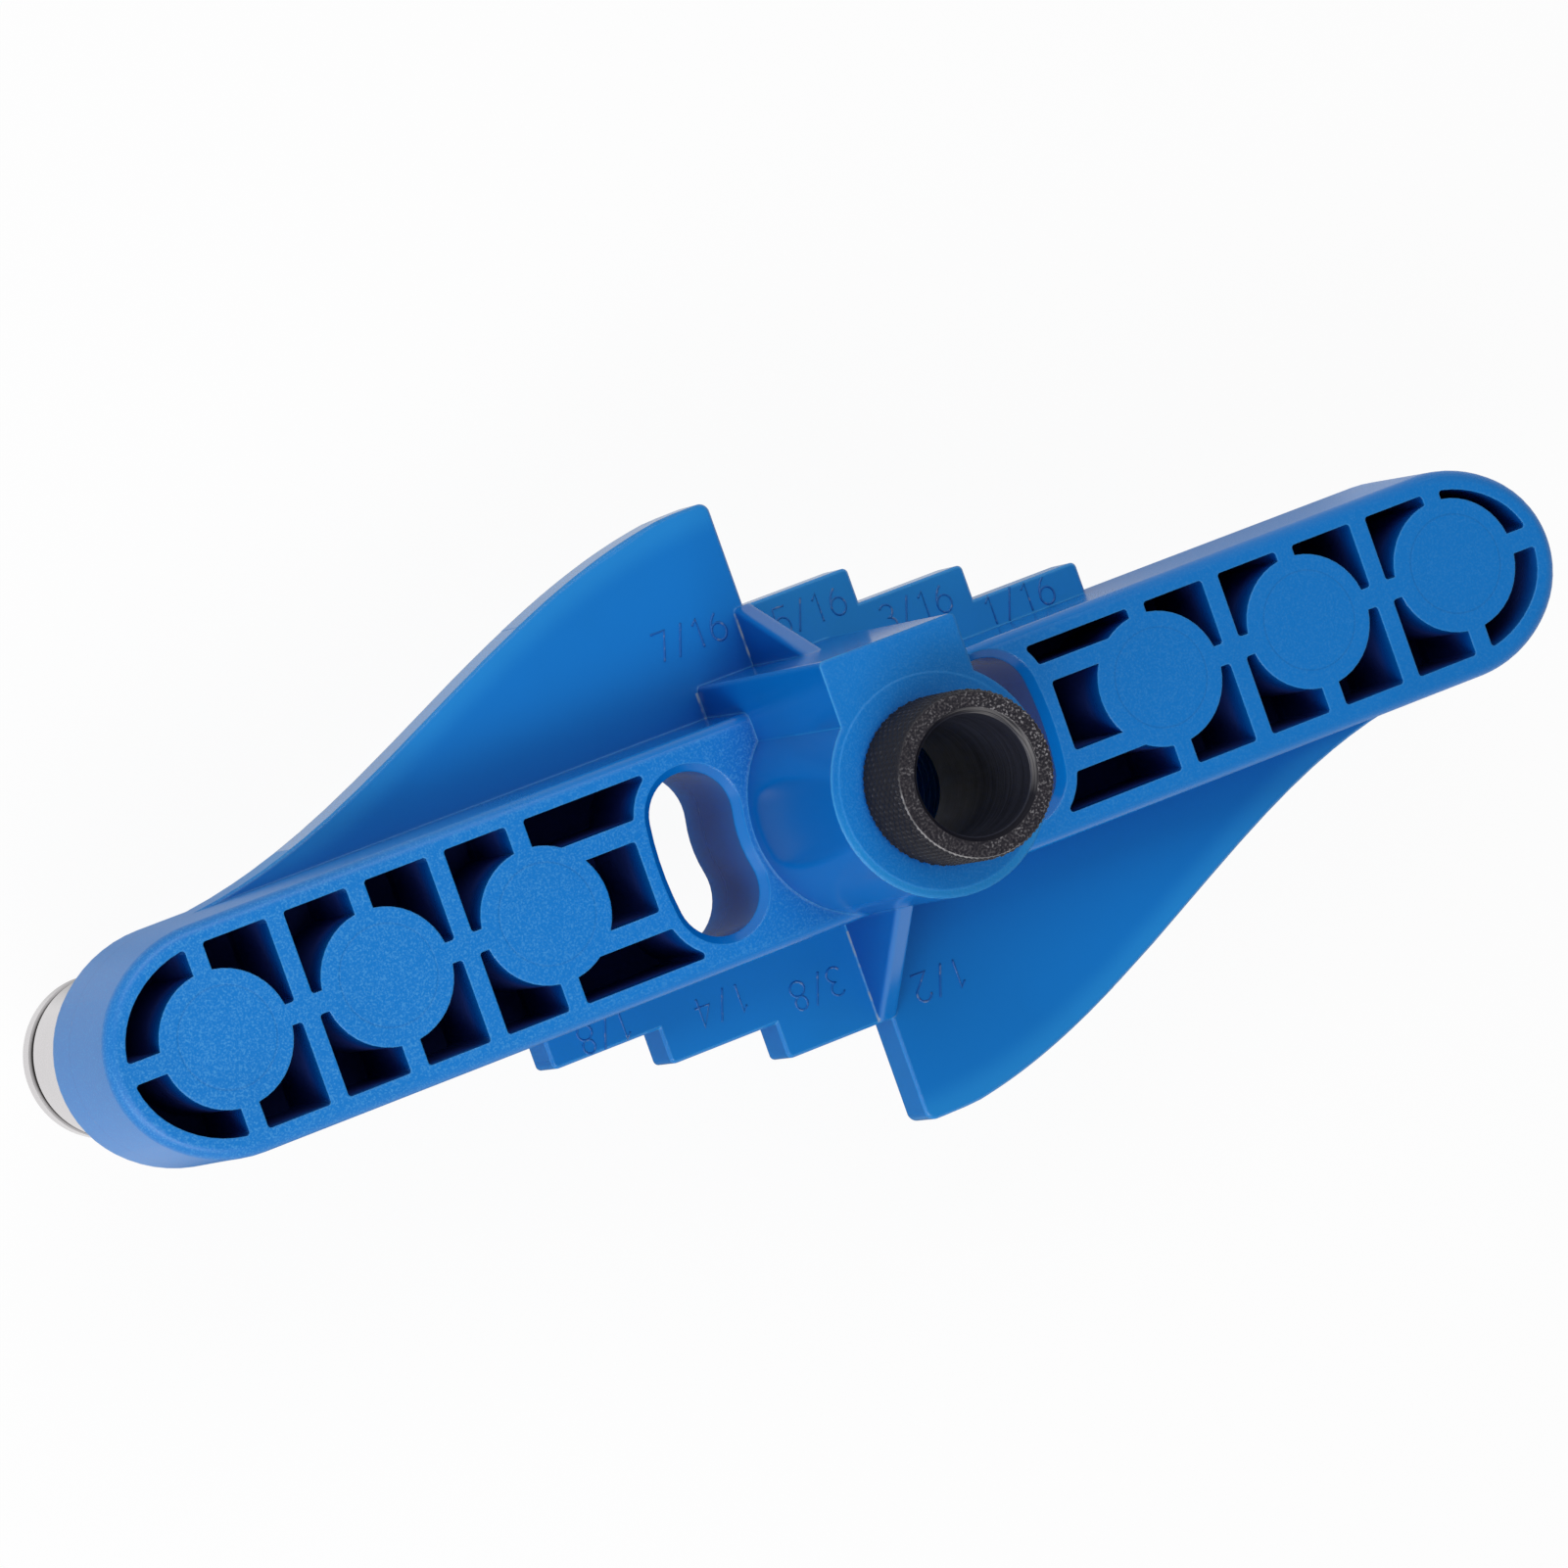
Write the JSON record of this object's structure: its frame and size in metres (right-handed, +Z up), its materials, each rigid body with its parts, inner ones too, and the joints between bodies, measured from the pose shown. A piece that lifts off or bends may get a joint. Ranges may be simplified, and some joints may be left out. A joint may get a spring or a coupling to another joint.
{
  "type": "doweling jig",
  "caption": "Self-centring doweling jig: ribbed moulded bar with stepped gauge fins, a knurled drill bush in a boss, and a steel guide roller under each end.",
  "frame": {"origin": "where the drill axis meets the work face, midway between the two rollers", "axes": "+Z up the drill axis away from the board, +X along the bar to its narrower end, +Y across the bar towards the sixteenth-inch treads"},
  "size_m": [0.1384, 0.0555, 0.0586],
  "materials": {
    "blue_plastic": "fine satin grain",
    "black_steel": "black oxide, knurled",
    "bright_steel": "ground, plain"
  },
  "bodies": {
    "jig": {"jig_body": "blue_plastic", "drill_bush": "black_steel", "roller_screw_left": "bright_steel", "roller_screw_right": "bright_steel"},
    "left_roller": {"guide_roller_left": "bright_steel"},
    "right_roller": {"guide_roller_right": "bright_steel"}
  },
  "joints": [
    {"name": "left_roller_spin", "type": "hinge", "parent": "jig", "child": "left_roller", "pos_m": [-0.059, 0, -0.009], "axis": [0, 0, 1], "continuous": true},
    {"name": "right_roller_spin", "type": "hinge", "parent": "jig", "child": "right_roller", "pos_m": [0.059, 0, -0.009], "axis": [0, 0, 1], "continuous": true}
  ]
}
